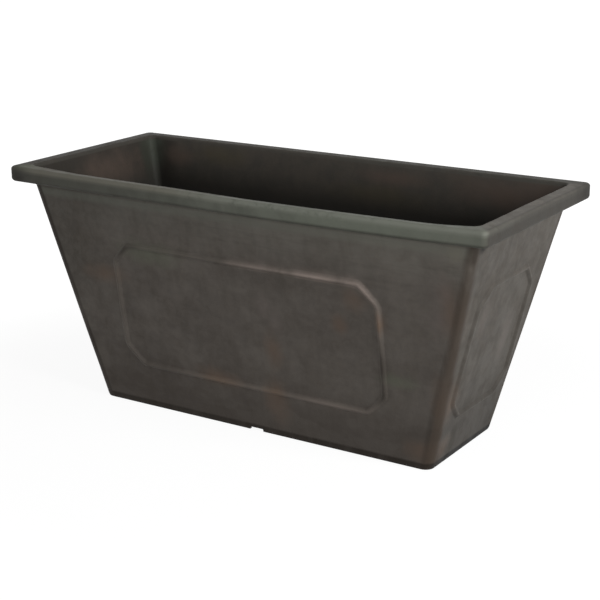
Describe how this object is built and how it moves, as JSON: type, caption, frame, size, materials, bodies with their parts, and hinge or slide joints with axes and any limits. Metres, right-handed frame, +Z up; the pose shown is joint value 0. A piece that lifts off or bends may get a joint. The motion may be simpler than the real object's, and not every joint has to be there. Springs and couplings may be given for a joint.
{
  "type": "window box planter",
  "caption": "Rectangular moulded planter with flared walls, a turned-down rim, raised octagonal bead frames and lift-out drain plugs.",
  "frame": {"origin": "on the ground, under the middle of the planter", "axes": "+X along the long side, +Y towards the back long wall, +Z up"},
  "size_m": [0.61, 0.26, 0.283],
  "materials": {
    "antiqued_moulding": "dark bronze colour with worn copper on raised beads and corners, satin",
    "plug_rubber": "matt black"
  },
  "bodies": {
    "body": {"planter_body": "antiqued_moulding"},
    "plug_1": {"drain_plug_1": "plug_rubber"},
    "plug_2": {"drain_plug_2": "plug_rubber"},
    "plug_3": {"drain_plug_3": "plug_rubber"},
    "plug_4": {"drain_plug_4": "plug_rubber"}
  },
  "joints": [
    {"name": "plug_1_lift", "type": "slide", "parent": "body", "child": "plug_1", "axis": [0, 0, 1], "range_m": [0, 0.29]},
    {"name": "plug_2_lift", "type": "slide", "parent": "body", "child": "plug_2", "axis": [0, 0, 1], "range_m": [0, 0.29]},
    {"name": "plug_3_lift", "type": "slide", "parent": "body", "child": "plug_3", "axis": [0, 0, 1], "range_m": [0, 0.29]},
    {"name": "plug_4_lift", "type": "slide", "parent": "body", "child": "plug_4", "axis": [0, 0, 1], "range_m": [0, 0.29]}
  ]
}
